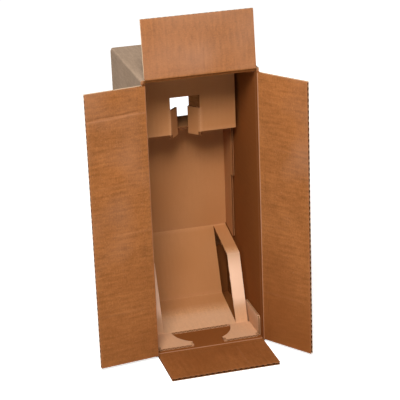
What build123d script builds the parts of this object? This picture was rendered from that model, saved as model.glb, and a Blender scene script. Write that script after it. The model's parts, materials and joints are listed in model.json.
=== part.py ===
from build123d import *
import os
from math import cos, sin, radians, hypot

# Bottle shipping box: a corrugated carton standing with its long way up and its narrow
# face open to the front, and one folded sheet of board inside it that holds a bottle.
# Millimetres. X is to the right seen from the front, Y runs to the back, Z is up.
# The origin is the middle of the carton's bottom face.

# Carton board and carton size
CARTON_WIDTH = 154.0          # outside, left to right
CARTON_DEPTH = 177.0          # outside, front flaps' crease to back flaps' crease
CARTON_HEIGHT = 380.0         # outside, floor to lid side
BOARD = 4.0                   # C flute board
FLUTE_PITCH = 7.5             # C flute, one wave
LINER = 0.5                   # each facing of the board
CELL_DEPTH = 5.0              # how deep the hollows are cut into a flap's free edge
CELL_END_MARGIN = 6.0         # solid board left at both ends of a row of hollows
CORNER_BEND = 2.5             # outside radius of the carton's folded long corners
FLAP_MEETING_GAP = 0.8        # between the two outer flaps when they are shut
SLOT_CLEARANCE = 0.4          # a slot is one board and this, at each end of a flap
SHUT_CLEARANCE = 0.2          # between outer and inner flaps when all are shut
CREASE_GAP = 0.1              # between the bevels on both sides of a flap's crease

# Flap angles from shut, in degrees, as they stand in the picture
FRONT_TOP_ANGLE = 185.6
FRONT_BOTTOM_ANGLE = 90.0
FRONT_LEFT_ANGLE = 172.0
FRONT_RIGHT_ANGLE = 124.5
BACK_RIGHT_ANGLE = 69.0
BACK_LEFT_ANGLE = 0.0

# Glued seam: a crushed tab of the right wall under the lid side
TAB_WIDTH = 32.0
TAB_THICK = 2.4
TAB_END_TAPER = 8.0
TAB_END_INSET = 4.0
SEAM_GROOVE = 0.4

# Insert board, and how far the insert keeps from the carton
SHEET = 3.0                   # B flute board
WALL_CLEARANCE = 0.3          # side strips to the carton's side walls
PANEL_SIDE_GAP = 4.0          # panels' side edges to the outside of the side strips
FRONT_MARGIN = 10.5           # foot's front edge back from the long flaps' crease
BACK_MARGIN = 20.5            # shelf's back crease forward from the back flaps' crease
HEAD_GAP = 0.4                # face panel to the seam tab above it
EDGE_GAP = 0.4                # cut edge to the panel next to it
STRIP_CLEARANCE = 1.5         # side strip to the shelves above and below it

# Insert panels: the seen face, measured along Y or Z
FOOT_DEPTH = 45.0             # front edge to foot crease
FOOT_SIDE_STEP = 1.0          # each side of the foot is this much narrower than the shelf
STEP_HEIGHT = 89.0            # foot crease up to the shelf's front crease
SHELF_DEPTH = 67.0
SHELF_RISE = 18.0
WING_WIDTH = 17.7
BACK_LEAN = 2.0               # the back panel's top is this much further forward
TOP_SHELF_DEPTH = 66.0
FACE_HEIGHT = 100.0           # top shelf crease to the underside of the lid side

# Insert cut-outs, doors and side strips
FOOT_ARC_RADIUS = 41.0
FOOT_NOTCH_HALF = 21.0
FOOT_STRIP_HEIGHT = 28.0
FOOT_STRIP_INSET = 3.0        # behind the foot's front edge
FOOT_STRIP_TAIL = 17.0        # behind the foot crease
FOOT_STRIP_CHAMFER = 3.0
BACK_STRIP_LOW_WIDTH = 32.0
BACK_STRIP_HIGH_WIDTH = 40.0
BACK_STRIP_STEP_DROP = 78.0   # below the top shelf
WINDOW_HALF = 20.0
WINDOW_HEIGHT = 18.0
DOOR_HEIGHT = 33.0            # above the top shelf's crease
DOOR_DROP = 5.0               # below the top shelf's crease
DOOR_WIDTH = 20.0
DOOR_ANGLE = 50.0             # folded back from the face panel
SHELF_NOTCH_DEPTH = 20.0

# Worked out from the sizes above
HALF_W = CARTON_WIDTH / 2
HALF_D = CARTON_DEPTH / 2
FLAP_LENGTH = (CARTON_WIDTH - FLAP_MEETING_GAP) / 2
SETBACK = BOARD + SHUT_CLEARANCE
INNER_CREASE_Y = HALF_D - SETBACK
SLOT = BOARD + SLOT_CLEARANCE
INSIDE_HALF = HALF_W - BOARD
INSIDE_TOP = CARTON_HEIGHT - BOARD
FLOOR = BOARD

SHEET_HALF = INSIDE_HALF - WALL_CLEARANCE
PANEL_HALF = SHEET_HALF - PANEL_SIDE_GAP
FOOT_HALF = PANEL_HALF - FOOT_SIDE_STEP
POCKET_HALF = PANEL_HALF - WING_WIDTH
FOOT_FRONT_Y = -HALF_D + FRONT_MARGIN
FOOT_CREASE_Y = FOOT_FRONT_Y + FOOT_DEPTH
FOOT_Z = FLOOR + SHEET
SHELF_BACK_Y = HALF_D - BACK_MARGIN
SHELF_FRONT_Y = SHELF_BACK_Y - SHELF_DEPTH
SHELF_FRONT_Z = FOOT_Z + STEP_HEIGHT
SHELF_BACK_Z = SHELF_FRONT_Z + SHELF_RISE
BACK_TOP_Y = SHELF_BACK_Y - BACK_LEAN
TOP_SHELF_Z = INSIDE_TOP - FACE_HEIGHT
FACE_Y = BACK_TOP_Y - TOP_SHELF_DEPTH
WINDOW_LOW_Z = TOP_SHELF_Z + DOOR_HEIGHT
WINDOW_HIGH_Z = WINDOW_LOW_Z + WINDOW_HEIGHT


def prism(points, direction, amount):
    """A solid with the given corner points as its end, pushed along a direction."""
    return extrude(make_face(Polyline(*points, close=True)), amount=amount, dir=direction)


def across(points, x_low, x_high):
    """A solid of one (y, z) outline from x_low to x_high."""
    return prism([(x_low, y, z) for y, z in points], (1, 0, 0), x_high - x_low)


def upright(points, z_low, z_high):
    """A solid of one (x, y) outline from z_low to z_high."""
    return prism([(x, y, z_low) for x, y in points], (0, 0, 1), z_high - z_low)


def block(x_low, x_high, y_low, y_high, z_low, z_high):
    return upright([(x_low, y_low), (x_high, y_low), (x_high, y_high), (x_low, y_high)], z_low, z_high)


def flute_cells(low, high, thickness, pitch):
    """Outlines (w, v) of the hollows between the facings, waves up and down in turn."""
    count = int((high - low) / pitch)
    start = (low + high) / 2 - count * pitch / 2
    wall = LINER / 2
    cells = []
    for i in range(count):
        left = start + i * pitch
        right = left + pitch
        middle = (left + right) / 2
        cells.append([(left + wall, LINER), (right - wall, LINER), (middle, thickness - 2 * LINER)])
        if i + 1 < count:
            top = thickness - LINER
            cells.append([(middle + wall, top), (middle + pitch - wall, top), (right, 2 * LINER)])
    return cells


def flap(width):
    """A flap as it lies shut: u is X from the crease, v is Y inwards, w is Z, middled."""
    half = width / 2
    body = upright(
        [(0, 0), (FLAP_LENGTH - CELL_DEPTH, 0), (FLAP_LENGTH - CELL_DEPTH, BOARD), (BOARD, BOARD)], -half, half
    )
    u = FLAP_LENGTH - CELL_DEPTH
    rim = Wire.make_polygon([(u, 0, -half), (u, BOARD, -half), (u, BOARD, half), (u, 0, half)])
    holes = [
        Wire.make_polygon([(u, v, w) for w, v in cell])
        for cell in flute_cells(-half + CELL_END_MARGIN, half - CELL_END_MARGIN, BOARD, FLUTE_PITCH)
    ]
    edge = extrude(Face(rim, holes), amount=CELL_DEPTH, dir=(1, 0, 0))
    return body + edge


def hung(shape, origin, u_dir, w_dir, angle):
    """The flap turned open by an angle and hung on its crease."""
    turned = shape.rotate(Axis.Z, -angle)
    return Plane(origin=origin, x_dir=u_dir, z_dir=w_dir) * turned


def carton_body():
    """Four walls, the two inner back flaps folded shut, and the glued seam, as one blank."""
    y_end = INNER_CREASE_Y
    bend = CORNER_BEND
    outer = block(-HALF_W, HALF_W, -y_end, y_end, 0, CARTON_HEIGHT)
    seam_edge = outer.edges().filter_by(Axis.Y).sort_by(lambda e: e.center().X + e.center().Z)[-1]
    outer = fillet([e for e in outer.edges().filter_by(Axis.Y) if e != seam_edge], bend)
    walls = outer - block(-INSIDE_HALF, INSIDE_HALF, -y_end, y_end, FLOOR, INSIDE_TOP)

    lip = CREASE_GAP
    for side in (-1, 1):
        for end in (-1, 1):
            walls += upright(
                [
                    (side * HALF_W, end * y_end),
                    (side * INSIDE_HALF, end * y_end),
                    (side * INSIDE_HALF, end * (HALF_D - BOARD - lip)),
                    (side * HALF_W, end * (HALF_D - lip)),
                ],
                SLOT,
                CARTON_HEIGHT - SLOT,
            )

    # The front edges of the floor and of the lid side are bevelled towards the crease.
    front = -y_end
    for outer_z, inner_z in ((0, FLOOR), (CARTON_HEIGHT, INSIDE_TOP)):
        walls -= across(
            [(front, outer_z), (front + lip, outer_z), (front + lip + BOARD, inner_z), (front, inner_z)],
            -INSIDE_HALF,
            INSIDE_HALF,
        )

    # Inner back flaps, shut: they fold round the back edge of the lid side and the floor.
    flap_half = HALF_W - SLOT
    back = y_end
    walls += block(-flap_half, flap_half, back - BOARD, back, CARTON_HEIGHT - FLAP_LENGTH, INSIDE_TOP)
    walls += block(-flap_half, flap_half, back - BOARD, back, FLOOR, FLAP_LENGTH)

    # The seam tab, crushed thin and glued under the lid side.
    tab_y = INNER_CREASE_Y - TAB_END_INSET
    tab_low = INSIDE_TOP - TAB_THICK
    tab = upright(
        [
            (INSIDE_HALF, -tab_y),
            (INSIDE_HALF, tab_y - BOARD),
            (INSIDE_HALF - TAB_WIDTH, tab_y - BOARD - TAB_END_TAPER),
            (INSIDE_HALF - TAB_WIDTH, -tab_y + TAB_END_TAPER),
        ],
        tab_low,
        INSIDE_TOP,
    )
    groove = block(
        HALF_W - SEAM_GROOVE, HALF_W, -y_end, y_end, INSIDE_TOP - SEAM_GROOVE, INSIDE_TOP
    )
    return walls + tab - groove


def offset_line(points, thickness):
    """The far face of a board whose seen face follows the points; folds are mitred."""
    normals = []
    for (y0, z0), (y1, z1) in zip(points, points[1:]):
        length = hypot(y1 - y0, z1 - z0)
        normals.append(((z1 - z0) / length, -(y1 - y0) / length))
    far = []
    for i, (y, z) in enumerate(points):
        before = normals[max(i - 1, 0)]
        after = normals[min(i, len(normals) - 1)]
        mixed = (before[0] + after[0], before[1] + after[1])
        scale = 2 * thickness / (mixed[0] ** 2 + mixed[1] ** 2)
        far.append((y + mixed[0] * scale, z + mixed[1] * scale))
    return far


def folded(points, x_low, x_high):
    """A folded board whose seen face follows the (y, z) points."""
    return across(list(points) + offset_line(points, SHEET)[::-1], x_low, x_high)


def back_y(z):
    """The back panel's seen face at a height."""
    share = (z - SHELF_BACK_Z) / (TOP_SHELF_Z - SHELF_BACK_Z)
    return SHELF_BACK_Y + share * (BACK_TOP_Y - SHELF_BACK_Y)


def shelf_z(y):
    """The sloping shelf's seen face at a depth."""
    return SHELF_FRONT_Z + (y - SHELF_FRONT_Y) / SHELF_DEPTH * SHELF_RISE


def bottle_insert():
    """One folded sheet: foot, stepped wings, sunk pocket, back, top shelf and face."""
    foot_front = (FOOT_FRONT_Y, FOOT_Z)
    foot_crease = (FOOT_CREASE_Y, FOOT_Z)
    shelf_front = (SHELF_FRONT_Y, SHELF_FRONT_Z)
    shelf_back = (SHELF_BACK_Y, SHELF_BACK_Z)
    # The pocket is the step turned inside out, so it makes a parallelogram with it.
    pocket_crease = (FOOT_CREASE_Y + SHELF_DEPTH, FOOT_Z + SHELF_RISE)
    back_top = (BACK_TOP_Y, TOP_SHELF_Z)
    face_foot = (FACE_Y, TOP_SHELF_Z)
    face_top = (FACE_Y, INSIDE_TOP - TAB_THICK - HEAD_GAP)
    upper_run = [shelf_back, back_top, face_foot, face_top]

    # The middle dips into the pocket; the wings beside it climb the step.
    sheet = folded([foot_front, foot_crease, pocket_crease] + upper_run, -POCKET_HALF, POCKET_HALF)
    for side in (-1, 1):
        low, high = sorted((side * POCKET_HALF, side * PANEL_HALF))
        sheet += folded([foot_front, foot_crease, shelf_front] + upper_run, low, high)

    # The foot is narrower than the step, and the steep wings taper down to it.
    for side in (-1, 1):
        taper = [
            (side * FOOT_HALF, FLOOR),
            (side * FOOT_HALF, FOOT_Z),
            (side * PANEL_HALF, SHELF_FRONT_Z),
            (side * HALF_W, SHELF_FRONT_Z),
            (side * HALF_W, FLOOR),
        ]
        ends = [(x, FOOT_FRONT_Y, z) for x, z in taper]
        sheet -= prism(ends, (0, 1, 0), SHELF_FRONT_Y + SHEET - FOOT_FRONT_Y)

    # Round cut-out in the foot up to its crease, open to the front through a notch.
    disc = Pos(0, FOOT_CREASE_Y, FLOOR + SHEET / 2) * Cylinder(FOOT_ARC_RADIUS, SHEET * 2)
    front_half = block(-HALF_W, HALF_W, FOOT_CREASE_Y - HALF_D, FOOT_CREASE_Y, 0, FOOT_Z + SHEET)
    sheet -= disc & front_half
    sheet -= block(-FOOT_NOTCH_HALF, FOOT_NOTCH_HALF, FOOT_FRONT_Y, FOOT_CREASE_Y, FLOOR, FOOT_Z)

    # Side strips: on the foot along the floor, and on the back panel along the walls.
    strip_front = FOOT_FRONT_Y + FOOT_STRIP_INSET
    strip_back = FOOT_CREASE_Y + FOOT_STRIP_TAIL
    strip_height = FLOOR + FOOT_STRIP_HEIGHT
    floor_strip = [
        (strip_front, FLOOR),
        (strip_front, strip_height - FOOT_STRIP_CHAMFER),
        (strip_front + FOOT_STRIP_CHAMFER, strip_height),
        (strip_back, strip_height),
        (strip_back, FLOOR),
    ]
    strip_foot_z = SHELF_BACK_Z + STRIP_CLEARANCE
    strip_top_z = TOP_SHELF_Z - STRIP_CLEARANCE
    low_y = SHELF_BACK_Y - BACK_STRIP_LOW_WIDTH
    high_y = SHELF_BACK_Y - BACK_STRIP_HIGH_WIDTH
    step_z = TOP_SHELF_Z - BACK_STRIP_STEP_DROP
    wall_strip = [
        (back_y(strip_foot_z) + SHEET / 2, strip_foot_z),
        (low_y, shelf_z(low_y) + STRIP_CLEARANCE),
        (low_y, step_z),
        (high_y, step_z),
        (high_y, strip_top_z),
        (back_y(strip_top_z) + SHEET / 2, strip_top_z),
    ]
    back_edge = [
        (back_y(strip_foot_z), strip_foot_z),
        (back_y(strip_foot_z) + SHEET, strip_foot_z),
        (back_y(strip_top_z) + SHEET, strip_top_z),
        (back_y(strip_top_z), strip_top_z),
    ]
    for side in (-1, 1):
        low, high = sorted((side * (SHEET_HALF - SHEET), side * SHEET_HALF))
        sheet += across(floor_strip, low, high)
        sheet += across(wall_strip, low, high)
        low, high = sorted((side * (SHEET_HALF - SHEET), side * (FOOT_HALF - EDGE_GAP)))
        sheet += block(low, high, strip_front, FOOT_CREASE_Y, FLOOR, FOOT_Z)
        low, high = sorted((side * (PANEL_HALF - SHEET), side * SHEET_HALF))
        sheet += across(back_edge, low, high)

    # Neck window in the face panel, and the notch behind it that lets the doors fold back.
    sheet -= block(-WINDOW_HALF, WINDOW_HALF, FACE_Y, FACE_Y + SHEET, TOP_SHELF_Z, WINDOW_HIGH_Z)
    sheet -= block(
        -WINDOW_HALF, WINDOW_HALF, FACE_Y, FACE_Y + SHELF_NOTCH_DEPTH, TOP_SHELF_Z, TOP_SHELF_Z + SHEET
    )
    fold = radians(DOOR_ANGLE)
    for side in (-1, 1):
        along = (-side * cos(fold) * DOOR_WIDTH, sin(fold) * DOOR_WIDTH)
        thick = (side * sin(fold) * SHEET, cos(fold) * SHEET)
        hinge = (side * WINDOW_HALF, FACE_Y)
        door = [
            hinge,
            (hinge[0] + along[0], hinge[1] + along[1]),
            (hinge[0] + along[0] + thick[0], hinge[1] + along[1] + thick[1]),
            (hinge[0] + thick[0], hinge[1] + thick[1]),
        ]
        sheet += upright(door, TOP_SHELF_Z - DOOR_DROP, WINDOW_LOW_Z)
    return sheet


if __name__ == "__main__":
    os.makedirs("parts", exist_ok=True)
    export_step(carton_body(), "parts/carton_body.step")
    export_step(bottle_insert(), "parts/bottle_insert.step")
    right, left, back, front = (1, 0, 0), (-1, 0, 0), (0, 1, 0), (0, -1, 0)
    up, down = (0, 0, 1), (0, 0, -1)
    middle = CARTON_HEIGHT / 2
    long_flap = flap(CARTON_HEIGHT - 2 * SLOT)
    short_flap = flap(CARTON_WIDTH - 2 * SLOT)
    flaps = {
        "front_left": (long_flap, (-HALF_W, -HALF_D, middle), right, up, FRONT_LEFT_ANGLE),
        "front_right": (long_flap, (HALF_W, -HALF_D, middle), left, down, FRONT_RIGHT_ANGLE),
        "front_top": (short_flap, (0, -INNER_CREASE_Y, CARTON_HEIGHT), down, right, FRONT_TOP_ANGLE),
        "front_bottom": (short_flap, (0, -INNER_CREASE_Y, 0), up, left, FRONT_BOTTOM_ANGLE),
        "back_left": (long_flap, (-HALF_W, HALF_D, middle), right, down, BACK_LEFT_ANGLE),
        "back_right": (long_flap, (HALF_W, HALF_D, middle), left, up, BACK_RIGHT_ANGLE),
    }
    for name, (shape, origin, u_dir, w_dir, angle) in flaps.items():
        export_step(hung(shape, origin, u_dir, w_dir, angle), "parts/flap_" + name + ".step")
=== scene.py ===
import json
from math import ceil, cos, exp, hypot, pi, radians, sin

import bmesh
import bpy
from mathutils import Matrix, Vector, noise


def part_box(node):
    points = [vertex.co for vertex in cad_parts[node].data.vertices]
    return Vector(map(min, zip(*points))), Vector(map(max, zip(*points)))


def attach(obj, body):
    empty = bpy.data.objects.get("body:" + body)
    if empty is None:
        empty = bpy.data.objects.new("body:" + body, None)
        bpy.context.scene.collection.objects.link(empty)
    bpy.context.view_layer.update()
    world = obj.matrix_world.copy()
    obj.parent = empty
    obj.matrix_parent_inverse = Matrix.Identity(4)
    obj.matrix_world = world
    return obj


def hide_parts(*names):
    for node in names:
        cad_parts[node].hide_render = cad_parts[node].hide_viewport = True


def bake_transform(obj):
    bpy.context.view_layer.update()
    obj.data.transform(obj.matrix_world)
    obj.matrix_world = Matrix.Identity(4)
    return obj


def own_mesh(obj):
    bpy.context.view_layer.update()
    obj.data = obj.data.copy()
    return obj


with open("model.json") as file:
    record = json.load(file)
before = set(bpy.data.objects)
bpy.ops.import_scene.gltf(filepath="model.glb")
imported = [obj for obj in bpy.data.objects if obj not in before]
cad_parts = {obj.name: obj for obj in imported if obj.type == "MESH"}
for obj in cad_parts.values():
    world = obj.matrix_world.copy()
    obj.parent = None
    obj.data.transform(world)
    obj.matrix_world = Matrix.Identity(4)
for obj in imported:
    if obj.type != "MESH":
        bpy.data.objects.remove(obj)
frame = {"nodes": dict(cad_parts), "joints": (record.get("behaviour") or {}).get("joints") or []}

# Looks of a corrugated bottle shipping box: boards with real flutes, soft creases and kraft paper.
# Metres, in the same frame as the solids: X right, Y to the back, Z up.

bl_info = {
    "name": "Bottle shipping box",
    "version": (1, 0, 0),
    "blender": (4, 5, 0),
    "location": "3D View > Sidebar > Bottle Box",
    "description": "Makes the boards of a corrugated bottle shipping box and its stage",
    "category": "Add Mesh",
}

MM = 0.001
CARTON_LOW, CARTON_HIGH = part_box("carton_body")
INSERT_LOW, INSERT_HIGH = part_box("bottle_insert")
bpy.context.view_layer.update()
JOINTS = {joint["child"]: joint for joint in frame["joints"]}

# Thickness of the carton's board and of the insert's, the length of their waves, and their papers
BOARD = 4.0 * MM
SHEET = 3.0 * MM
FLUTE_PITCH = 7.5 * MM
SHEET_PITCH = 6.4 * MM
LINER = 0.4 * MM
MEDIUM = 0.6 * MM

# The wavy paper: steps across one wave, points along a flute, and the gain that flattens its crests
WAVE_STEPS = 10
WAVE_ROWS = 14
CREST = 1.3

# Paper slots of a flap, the slot of a cut edge on the walls and the insert, and the two sides of a sheet
OUTER, INNER, WAVED, CUT = range(4)
CUT_EDGE = 2
LOW_SIDE, HIGH_SIDE = range(2)

# Matt paper and floor, and the range of noise that is used
ROUGHNESS = 0.9
NOISE_LOW, NOISE_HIGH = 0.3, 0.7

# Where the camera stands, and its turn, rise and roll in radians
CAMERA_PLACE = Vector((-0.50258, -1.97517, 0.94489))
CAMERA_ANGLES = (-0.2565, 0.3584, -0.0398)

# The lamps' aim, distance, colour and sizes, the direction and height of the two weak ones, and the floor
LAMP_AIM = Vector((0, -0.05, 0.19))
LAMP_DISTANCE = 1.5
LAMP_COLOUR = (1.0, 0.965, 0.92)
KEY_SIZE = 0.6
FILL_SIZE = 0.8
SIDE_ANGLES = (radians(-78), radians(30))
BACK_ANGLES = (radians(135), radians(12))
FLOOR_SIZE = 12.0
FLOOR_DROP = 0.0002

# Pressed lines on each flap: place across the flutes in metres, start and end as shares of the flap's
# length, and depth in millimetres
FLAP_DENTS = {
    "front_left": [
        (0.151, 0.0, 1.0, 0.8), (-0.005, 0.0, 0.6, 0.3), (0.062, 0.35, 0.98, 0.15),
        (-0.112, 0.2, 0.95, 0.15)],
    "front_right": [(0.118, 0.1, 0.8, 0.14), (-0.085, 0.3, 1.0, 0.18), (0.021, 0.0, 0.5, 0.15)],
    "front_top": [(0.006, 0.0, 0.45, 0.3), (0.017, 0.0, 0.3, 0.22), (-0.041, 0.1, 0.9, 0.12)],
    "front_bottom": [(-0.03, 0.2, 1.0, 0.2)],
    "back_left": [(0.06, 0.1, 0.9, 0.2)],
    "back_right": [(-0.11, 0.0, 0.8, 0.25)],
}

# How far a flap's dents are shifted across the flutes at its crease; at its free edge they aren't
DENT_SLANT = {"front_left": 2.8 * MM}

# How far each flap bows, as a share of the warp
FLAP_BOW = {
    "front_left": 0.9, "front_right": 1.0, "front_top": 1.0, "front_bottom": 0.8,
    "back_left": 0.5, "back_right": 0.7,
}

# How faded each flap is at its crease and at its free edge, from rich (-1) to dusty (1); these tones also
# paint light and shade, the top flap paler as if lit and the bottom flap darker and richer as if shaded
FLAP_FADE_AND_SHADING = {
    "front_left": (0.0, 0.1), "front_right": (-0.05, 0.05), "front_top": (0.25, 0.3),
    "front_bottom": (-0.6, -0.5), "back_left": (0.0, 0.0), "back_right": (0.0, 0.0),
}

# How much darker and richer a flap's lower end is painted, as painted shade
FLAP_LOW_SHADE = {"front_right": 0.8, "front_left": 0.3}

# How far each open crease is worn pale and painted with a highlight
CREASE_RUB_AND_HIGHLIGHT = {"front_left": 0.5, "front_right": 1.0, "front_top": 0.0, "front_bottom": 1.5, "back_right": 0.5}

# A flap that stands open by at least this angle has a crease liner, which is painted as the flap is at
# this share of its length
OPEN_LEAST = radians(30)
LINER_SHARE = 0.08

# Steps along a flap from its crease, in millimetres
ROOT_STEPS = (0.0, 0.4, 0.9, 1.4, 2.0, 2.7, 3.4, 4.1, 4.9, 5.8, 7.0, 8.5)

# The crease liner of a flap that stands open past half a turn, in millimetres: its wall part as places
# along the shut flap and inwards, and its flap part as places along the flap
WIDE_WALL = ((4.0, 7.0), (4.0, 5.2), (4.0, 3.4), (4.0, 1.6), (3.6, 0.7), (2.6, 0.5), (1.5, 0.5), (0.5, 0.5))
WIDE_FLAP = (0.4, 1.6, 2.8, 4.0, 5.7, 7.5)

# The longest step of the walls' and the insert's meshes, more cuts behind the walls' front edge in
# millimetres, and the rounding of a fold and how far a face must reach from it
WALL_STEP = 6 * MM
INSERT_STEP = 7 * MM
FRONT_CUTS = (5.2, 6.2, 7.4, 8.8)
FOLD_ROUNDING = 1.1 * MM
FOLD_REACH = 4 * MM

# The insert's part painted paler as painted light, while the rest is painted darker as painted shade: its
# top, its back, and the height from which it is palest
LIT_TOP = 145 * MM
LIT_BACK = 20 * MM
LIT_MOST_FROM = 20 * MM


# Settings

class BoxBoardSettings(bpy.types.PropertyGroup):
    """Sizes of the carton's board."""

    board: bpy.props.FloatProperty(
        name="Board thickness", description="Thickness of the carton's board", default=BOARD, unit="LENGTH")
    pitch: bpy.props.FloatProperty(
        name="Flute pitch", description="Length of one flute wave", default=FLUTE_PITCH, unit="LENGTH")
    liner: bpy.props.FloatProperty(
        name="Liner thickness", description="Thickness of each facing", default=LINER, unit="LENGTH")
    crush: bpy.props.FloatProperty(
        name="Crease crush", description="Width over which the board is pressed flat at a flap's crease",
        default=3.0 * MM, unit="LENGTH")
    warp: bpy.props.FloatProperty(
        name="Warp", description="Most that a flap bows from flat", default=0.4 * MM, unit="LENGTH")


class BoxColourSettings(bpy.types.PropertyGroup):
    """Colours of the papers, as linear values."""

    outer: bpy.props.FloatVectorProperty(
        name="Outer liner", description="Paper on the outside of the carton", subtype="COLOR",
        default=(0.388, 0.279, 0.199))
    inner: bpy.props.FloatVectorProperty(
        name="Inner liner", description="Paper on the inside of the carton", subtype="COLOR",
        default=(0.285, 0.108, 0.034))
    sheet: bpy.props.FloatVectorProperty(
        name="Insert paper", description="Paper of the folded insert", subtype="COLOR",
        default=(0.55, 0.285, 0.135))
    # The fluting paper is painted near black, as painted shade in the flute hollows
    shaded_medium: bpy.props.FloatVectorProperty(
        name="Fluting paper", description="Wavy paper between the liners", subtype="COLOR",
        default=(0.08, 0.035, 0.015))
    cut: bpy.props.FloatVectorProperty(
        name="Cut paper", description="Frayed ends of the papers at a cut edge", subtype="COLOR",
        default=(0.68, 0.5, 0.34))


class BoxStageSettings(bpy.types.PropertyGroup):
    """Floor, light and camera."""

    key_power: bpy.props.FloatProperty(
        name="Key light", description="Power of the large soft light in front", default=27.3, unit="POWER")
    key_elevation: bpy.props.FloatProperty(
        name="Key elevation", description="Height of the key light above the floor", default=radians(45),
        subtype="ANGLE")
    key_azimuth: bpy.props.FloatProperty(
        name="Key direction", description="Direction of the key light, from the front towards the right",
        default=radians(-20), subtype="ANGLE")
    side_power: bpy.props.FloatProperty(
        name="Side light", description="Power of the soft light on the left", default=3.5, unit="POWER")
    back_power: bpy.props.FloatProperty(
        name="Back light", description="Power of the soft light behind the box", default=5.0, unit="POWER")
    room: bpy.props.FloatProperty(
        name="Room light", description="Strength of the even light from all round", default=0.06)
    focal: bpy.props.FloatProperty(
        name="Focal length", description="Camera's focal length in millimetres", default=146.03)


# Node helpers

def shader_node(tree, kind, **values):
    """A node with some of its input sockets or settings set by name."""
    node = tree.nodes.new(kind)
    for key, value in values.items():
        if key in node.inputs:
            node.inputs[key].default_value = value
        else:
            setattr(node, key, value)
    return node


def link(tree, source, target):
    tree.links.new(source, target)


def feed(tree, socket, value):
    """Sets a number or a colour on a socket, or links another socket to it."""
    if isinstance(value, (int, float)):
        socket.default_value = value
    elif isinstance(value, tuple):
        socket.default_value = (*value, 1.0)
    else:
        link(tree, value, socket)


def maths(tree, operation, *values):
    """One Math node, fed with numbers or sockets."""
    node = tree.nodes.new("ShaderNodeMath")
    node.operation = operation
    for socket, value in zip(node.inputs, values):
        feed(tree, socket, value)
    return node.outputs[0]


def mixed(tree, kind, factor, first, second):
    """A colour Mix node, fed with numbers, colours or sockets."""
    node = tree.nodes.new("ShaderNodeMix")
    node.data_type = "RGBA"
    node.blend_type = kind
    for index, value in ((0, factor), (6, first), (7, second)):
        feed(tree, node.inputs[index], value)
    return node.outputs[2]


def noise_value(tree, coordinates, scale, stretch=(1, 1, 1), detail=3.0, seed=0.0):
    """Noise read through a Mapping that stretches it; gives a value from 0 to 1."""
    mapping = shader_node(tree, "ShaderNodeMapping", Scale=stretch, Location=(seed, seed, seed))
    link(tree, coordinates, mapping.inputs["Vector"])
    field = shader_node(tree, "ShaderNodeTexNoise", Scale=scale, Detail=detail, Roughness=0.6)
    link(tree, mapping.outputs[0], field.inputs["Vector"])
    return field.outputs["Fac"]


def spread(tree, value, low, high, out_low=0.0, out_high=1.0):
    """A value moved from one range to another, and held inside it."""
    node = shader_node(tree, "ShaderNodeMapRange")
    for name, number in (("From Min", low), ("From Max", high), ("To Min", out_low), ("To Max", out_high)):
        node.inputs[name].default_value = number
    link(tree, value, node.inputs["Value"])
    return node.outputs[0]


def attribute_value(tree, name):
    """A number painted on the mesh."""
    return shader_node(tree, "ShaderNodeAttribute", attribute_name=name).outputs["Fac"]


def seen_directly(tree):
    """One for what the camera sees, also in a mirror or through glass, and zero for light on the box."""
    path = tree.nodes.new("ShaderNodeLightPath")
    mirrored = maths(tree, "MAXIMUM", path.outputs["Is Glossy Ray"], path.outputs["Is Transmission Ray"])
    return maths(tree, "MAXIMUM", path.outputs["Is Camera Ray"], mirrored)


def toned(colour, gain, lift=0.0):
    """A lighter or darker tone of a colour."""
    return tuple(min(1.0, c * gain + lift) for c in colour)


def matt_material(name, colour=(0.8, 0.8, 0.8)):
    """A new matt material; gives the material, its tree and its shader."""
    material = bpy.data.materials.new(name)
    material.use_nodes = True
    shader = material.node_tree.nodes["Principled BSDF"]
    shader.inputs["Base Color"].default_value = (*colour, 1.0)
    shader.inputs["Roughness"].default_value = ROUGHNESS
    shader.inputs["Specular IOR Level"].default_value = 0.0
    return material, material.node_tree, shader


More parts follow.
